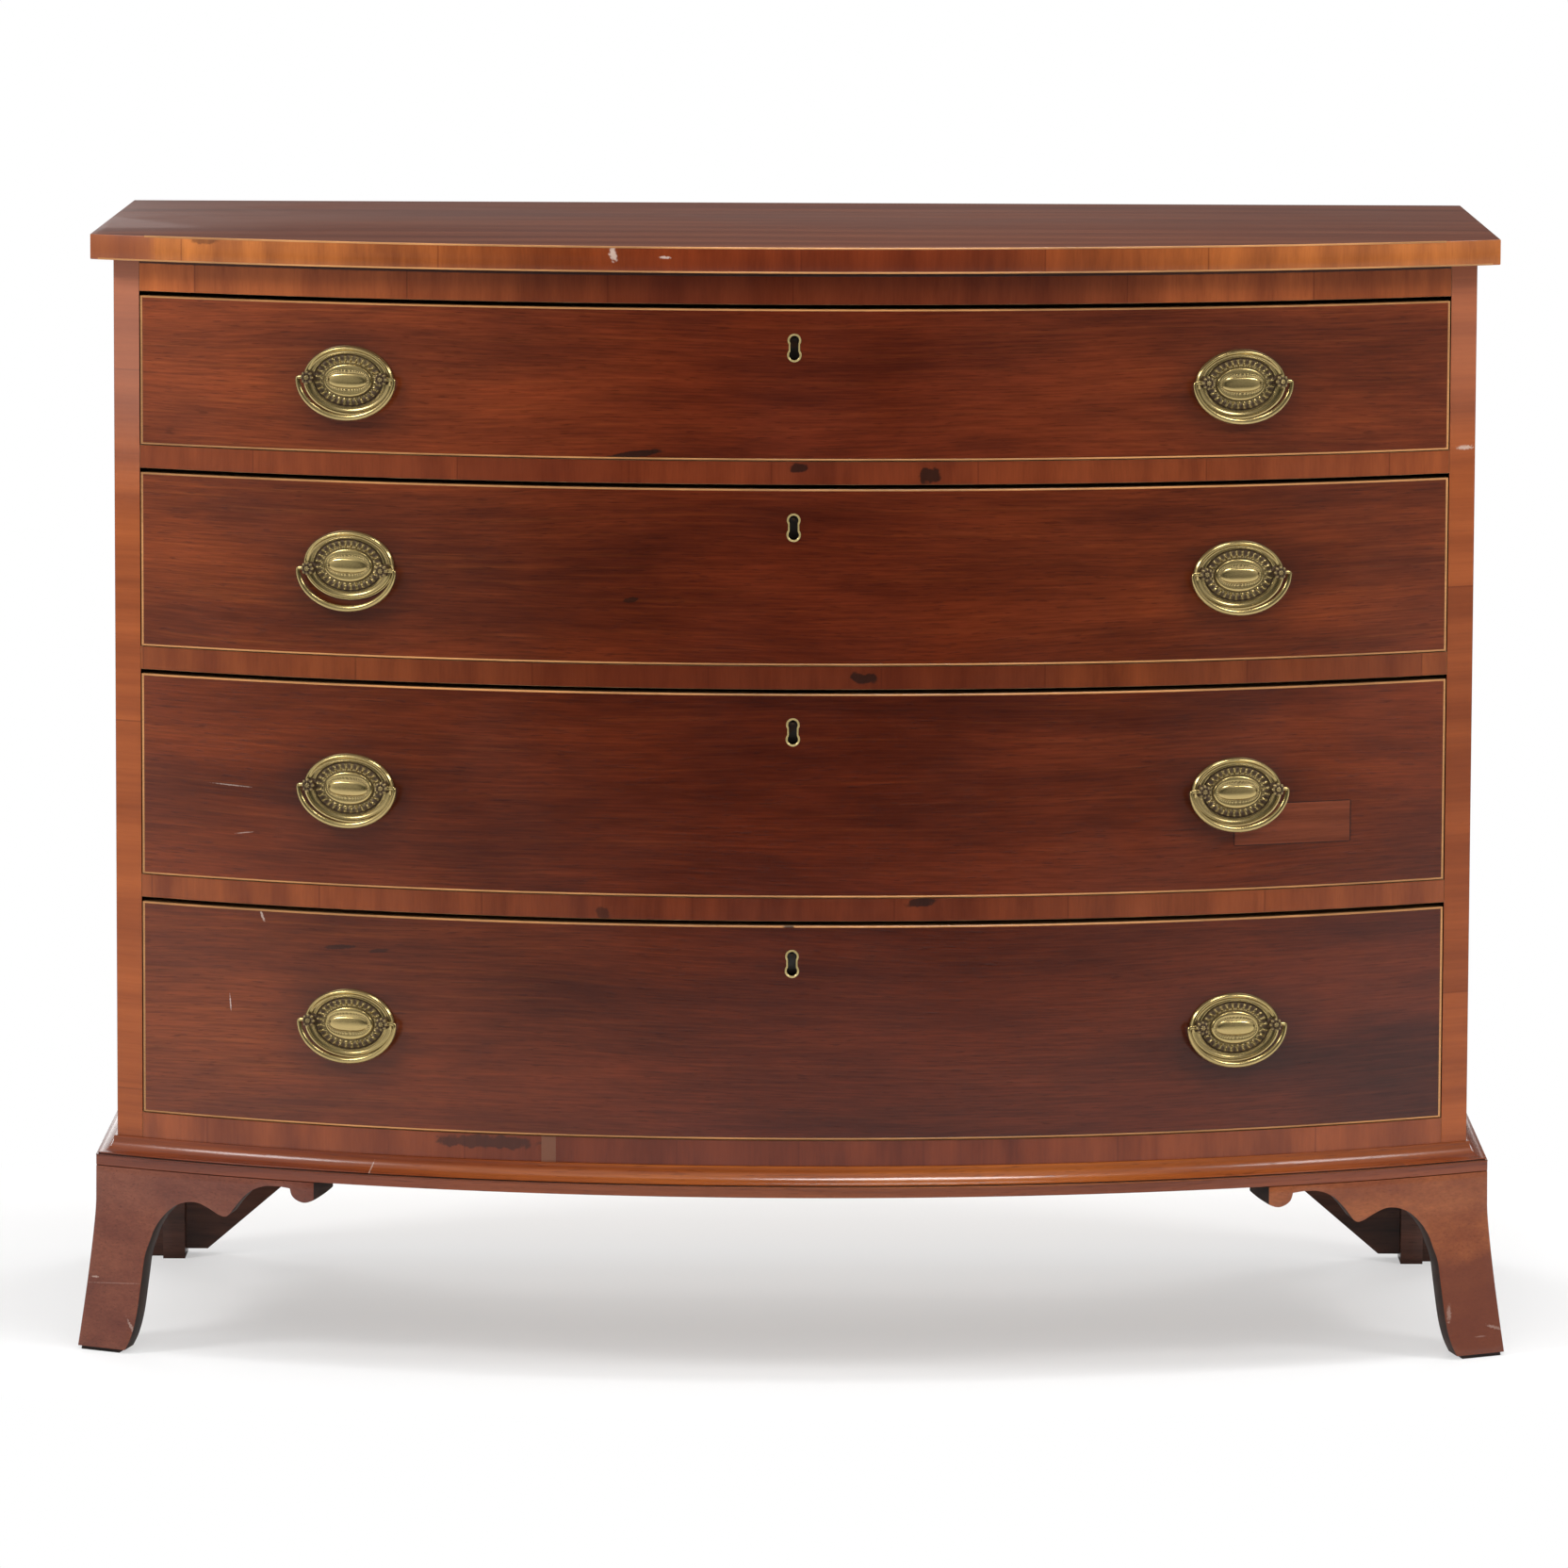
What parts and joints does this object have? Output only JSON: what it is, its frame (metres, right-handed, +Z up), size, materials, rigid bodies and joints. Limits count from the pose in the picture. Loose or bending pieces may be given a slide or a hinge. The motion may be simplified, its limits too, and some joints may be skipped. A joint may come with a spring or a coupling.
{
  "type": "bow front chest of drawers",
  "caption": "Bow front chest of graduated drawers on shaped bracket feet, with a moulded base, string inlay, oval bail pulls and drawer locks.",
  "frame": {"origin": "on the floor, under the middle of the bounding box", "axes": "+X along the width to the right as seen from the front, -Y towards the bowed front, +Z up"},
  "size_m": [1.1084, 0.5896, 0.8665],
  "materials": {
    "top_mahogany": "polished mahogany, reddish brown, faded and worn",
    "case_mahogany": "polished mahogany, satin",
    "front_mahogany": "polished mahogany veneer, fine straight horizontal grain, light string inlay at every edge",
    "crossbanding": "polished crossbanded mahogany veneer, patchy orange and dark blocks",
    "base_mahogany": "polished mahogany, orange brown, scuffed at the feet",
    "drawer_pine": "plain unfinished pine, aged",
    "antique_brass": "old stamped brass, slightly greenish gold, tarnished in the hollows",
    "lock_iron": "dark iron"
  },
  "bodies": {
    "case": {"top_board": "top_mahogany", "case_side_left": "case_mahogany", "case_side_right": "case_mahogany", "top_rail": "crossbanding", "drawer_divider_1": "crossbanding", "drawer_divider_2": "crossbanding", "drawer_divider_3": "crossbanding", "bottom_rail": "crossbanding", "bottom_board": "drawer_pine", "back_board_lower": "drawer_pine", "back_board_upper": "drawer_pine", "base_moulding": "base_mahogany", "front_foot_left": "base_mahogany", "front_foot_right": "base_mahogany", "rear_foot_left": "base_mahogany", "rear_foot_right": "base_mahogany"},
    "drawer_1": {"drawer_1_front": "front_mahogany", "drawer_1_side_left": "drawer_pine", "drawer_1_side_right": "drawer_pine", "drawer_1_back": "drawer_pine", "drawer_1_bottom": "drawer_pine", "lock_1": "lock_iron", "pull_plate_1_left": "antique_brass", "pull_plate_1_right": "antique_brass"},
    "lock_bolt_1": {"lock_bolt_1": "lock_iron"},
    "bail_1_left": {"bail_1_left": "antique_brass"},
    "bail_1_right": {"bail_1_right": "antique_brass"},
    "drawer_2": {"drawer_2_front": "front_mahogany", "drawer_2_side_left": "drawer_pine", "drawer_2_side_right": "drawer_pine", "drawer_2_back": "drawer_pine", "drawer_2_bottom": "drawer_pine", "lock_2": "lock_iron", "pull_plate_2_left": "antique_brass", "pull_plate_2_right": "antique_brass"},
    "lock_bolt_2": {"lock_bolt_2": "lock_iron"},
    "bail_2_left": {"bail_2_left": "antique_brass"},
    "bail_2_right": {"bail_2_right": "antique_brass"},
    "drawer_3": {"drawer_3_front": "front_mahogany", "drawer_3_side_left": "drawer_pine", "drawer_3_side_right": "drawer_pine", "drawer_3_back": "drawer_pine", "drawer_3_bottom": "drawer_pine", "lock_3": "lock_iron", "pull_plate_3_left": "antique_brass", "pull_plate_3_right": "antique_brass"},
    "lock_bolt_3": {"lock_bolt_3": "lock_iron"},
    "bail_3_left": {"bail_3_left": "antique_brass"},
    "bail_3_right": {"bail_3_right": "antique_brass"},
    "drawer_4": {"drawer_4_front": "front_mahogany", "drawer_4_side_left": "drawer_pine", "drawer_4_side_right": "drawer_pine", "drawer_4_back": "drawer_pine", "drawer_4_bottom": "drawer_pine", "lock_4": "lock_iron", "pull_plate_4_left": "antique_brass", "pull_plate_4_right": "antique_brass"},
    "lock_bolt_4": {"lock_bolt_4": "lock_iron"},
    "bail_4_left": {"bail_4_left": "antique_brass"},
    "bail_4_right": {"bail_4_right": "antique_brass"}
  },
  "joints": [
    {"name": "drawer_1_slide", "type": "slide", "parent": "case", "child": "drawer_1", "axis": [0, -1, 0], "range_m": [0, 0.3]},
    {"name": "lock_bolt_1_throw", "type": "slide", "parent": "drawer_1", "child": "lock_bolt_1", "axis": [0, 0, 1], "range_m": [0, 0.009]},
    {"name": "bail_1_left_swing", "type": "hinge", "parent": "drawer_1", "child": "bail_1_left", "pos_m": [-0.34082, -0.23083, 0.762], "axis": [-0.9479, 0.3185, 0], "range_deg": [0, 170]},
    {"name": "bail_1_right_swing", "type": "hinge", "parent": "drawer_1", "child": "bail_1_right", "pos_m": [0.34082, -0.23083, 0.762], "axis": [-0.9479, -0.3185, 0], "range_deg": [0, 170]},
    {"name": "drawer_2_slide", "type": "slide", "parent": "case", "child": "drawer_2", "axis": [0, -1, 0], "range_m": [0, 0.3]},
    {"name": "lock_bolt_2_throw", "type": "slide", "parent": "drawer_2", "child": "lock_bolt_2", "axis": [0, 0, 1], "range_m": [0, 0.009]},
    {"name": "bail_2_left_swing", "type": "hinge", "parent": "drawer_2", "child": "bail_2_left", "pos_m": [-0.34082, -0.23083, 0.61625], "axis": [-0.9479, 0.3185, 0], "range_deg": [0, 170]},
    {"name": "bail_2_right_swing", "type": "hinge", "parent": "drawer_2", "child": "bail_2_right", "pos_m": [0.34082, -0.23083, 0.61625], "axis": [-0.9479, -0.3185, 0], "range_deg": [0, 170]},
    {"name": "drawer_3_slide", "type": "slide", "parent": "case", "child": "drawer_3", "axis": [0, -1, 0], "range_m": [0, 0.3]},
    {"name": "lock_bolt_3_throw", "type": "slide", "parent": "drawer_3", "child": "lock_bolt_3", "axis": [0, 0, 1], "range_m": [0, 0.009]},
    {"name": "bail_3_left_swing", "type": "hinge", "parent": "drawer_3", "child": "bail_3_left", "pos_m": [-0.34082, -0.23083, 0.45], "axis": [-0.9479, 0.3185, 0], "range_deg": [0, 170]},
    {"name": "bail_3_right_swing", "type": "hinge", "parent": "drawer_3", "child": "bail_3_right", "pos_m": [0.34082, -0.23083, 0.45], "axis": [-0.9479, -0.3185, 0], "range_deg": [0, 170]},
    {"name": "drawer_4_slide", "type": "slide", "parent": "case", "child": "drawer_4", "axis": [0, -1, 0], "range_m": [0, 0.3]},
    {"name": "lock_bolt_4_throw", "type": "slide", "parent": "drawer_4", "child": "lock_bolt_4", "axis": [0, 0, 1], "range_m": [0, 0.009]},
    {"name": "bail_4_left_swing", "type": "hinge", "parent": "drawer_4", "child": "bail_4_left", "pos_m": [-0.34082, -0.23083, 0.2685], "axis": [-0.9479, 0.3185, 0], "range_deg": [0, 170]},
    {"name": "bail_4_right_swing", "type": "hinge", "parent": "drawer_4", "child": "bail_4_right", "pos_m": [0.34082, -0.23083, 0.2685], "axis": [-0.9479, -0.3185, 0], "range_deg": [0, 170]}
  ]
}
